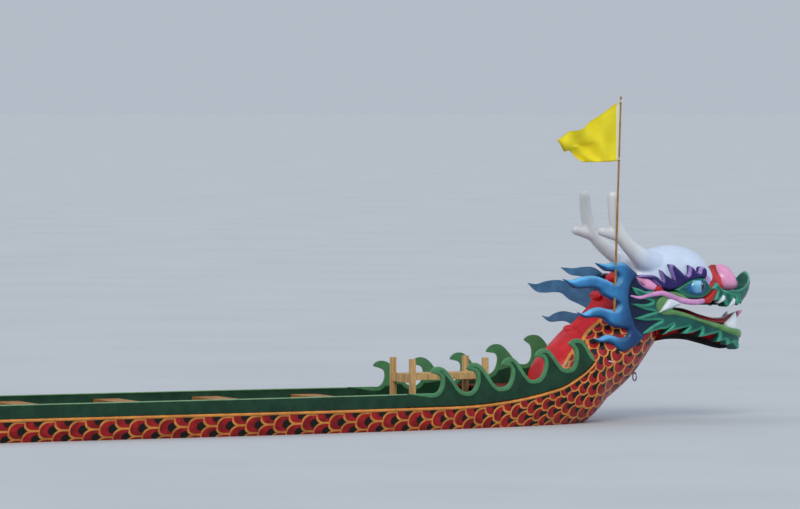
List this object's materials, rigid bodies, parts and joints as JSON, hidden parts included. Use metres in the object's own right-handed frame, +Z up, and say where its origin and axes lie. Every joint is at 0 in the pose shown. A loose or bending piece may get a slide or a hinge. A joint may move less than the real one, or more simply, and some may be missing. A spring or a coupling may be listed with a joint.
{
  "type": "dragon boat",
  "caption": "Traditional open wooden dragon boat with a carved head, wave-cut boards, upswept tail, paddlers' thwarts and a steering oar in a crutch.",
  "frame": {"origin": "amidships, on the centre plane, at the waterline", "axes": "+X to the bow, +Y to port, +Z up"},
  "size_m": [12.996, 1.41, 3.1775],
  "materials": {
    "side_paint": "painted scales, semi-gloss",
    "green_paint": "semi-gloss",
    "gold_paint": "semi-gloss",
    "deck_paint": "worn matt",
    "red_paint": "gloss",
    "blue_paint": "semi-gloss",
    "navy_paint": "semi-gloss",
    "white_paint": "semi-gloss",
    "purple_paint": "semi-gloss",
    "pink_paint": "semi-gloss",
    "teal_paint": "semi-gloss",
    "lip_paint": "semi-gloss",
    "eye_paint": "gloss",
    "bare_wood": "oiled",
    "pale_wood": "planed",
    "bamboo": "weathered",
    "flag_cloth": "thin cloth",
    "steel": "galvanised"
  },
  "bodies": {
    "boat": {"hull_bottom_stern": "deck_paint", "hull_bottom_aft": "deck_paint", "hull_bottom_mid_aft": "deck_paint", "hull_bottom_mid_fore": "deck_paint", "hull_bottom_fore": "deck_paint", "hull_bottom_bow": "deck_paint", "keel": "deck_paint", "foredeck": "deck_paint", "afterdeck": "deck_paint", "hull_side_stern_port": "side_paint", "hull_side_stern_starboard": "side_paint", "hull_side_mid_port": "side_paint", "hull_side_mid_starboard": "side_paint", "hull_side_bow_port": "side_paint", "hull_side_bow_starboard": "side_paint", "neck": "side_paint", "tail": "side_paint", "gunwale_port": "green_paint", "gunwale_starboard": "green_paint", "wave_board_bow_port": "green_paint", "wave_board_bow_starboard": "green_paint", "wave_board_stern_port": "green_paint", "wave_board_stern_starboard": "green_paint", "rub_rail_port": "gold_paint", "rub_rail_starboard": "gold_paint", "seat_riser_port": "bare_wood", "seat_riser_starboard": "bare_wood", "thwart_1": "bare_wood", "thwart_2": "bare_wood", "thwart_3": "bare_wood", "thwart_4": "bare_wood", "thwart_5": "bare_wood", "thwart_6": "bare_wood", "thwart_7": "bare_wood", "thwart_8": "bare_wood", "floorboards": "bare_wood", "drum_stand": "pale_wood", "skull": "white_paint", "horn_port": "white_paint", "horn_starboard": "white_paint", "muzzle": "red_paint", "neck_heel": "red_paint", "lower_jaw": "lip_paint", "upper_lip": "teal_paint", "beard": "teal_paint", "mane_port": "blue_paint", "mane_starboard": "blue_paint", "tail_fin": "blue_paint", "brow_port": "purple_paint", "brow_starboard": "purple_paint", "cheek_port": "navy_paint", "cheek_starboard": "navy_paint", "eye_port": "eye_paint", "eye_starboard": "eye_paint", "flag_pole": "bamboo", "flag": "flag_cloth", "mooring_ring": "steel", "oar_bracket": "steel"},
    "crutch": {"oar_crutch": "steel"},
    "oar": {"steering_oar": "bare_wood"}
  },
  "joints": [
    {"name": "oar_yaw", "type": "hinge", "parent": "boat", "child": "crutch", "pos_m": [-4.45, -0.64, 0.72], "axis": [0, 0, 1], "range_deg": [-8, 35]},
    {"name": "oar_pitch", "type": "hinge", "parent": "crutch", "child": "oar", "pos_m": [-4.45, -0.64, 0.72], "axis": [0, 1, 0], "range_deg": [-6, 24]}
  ]
}
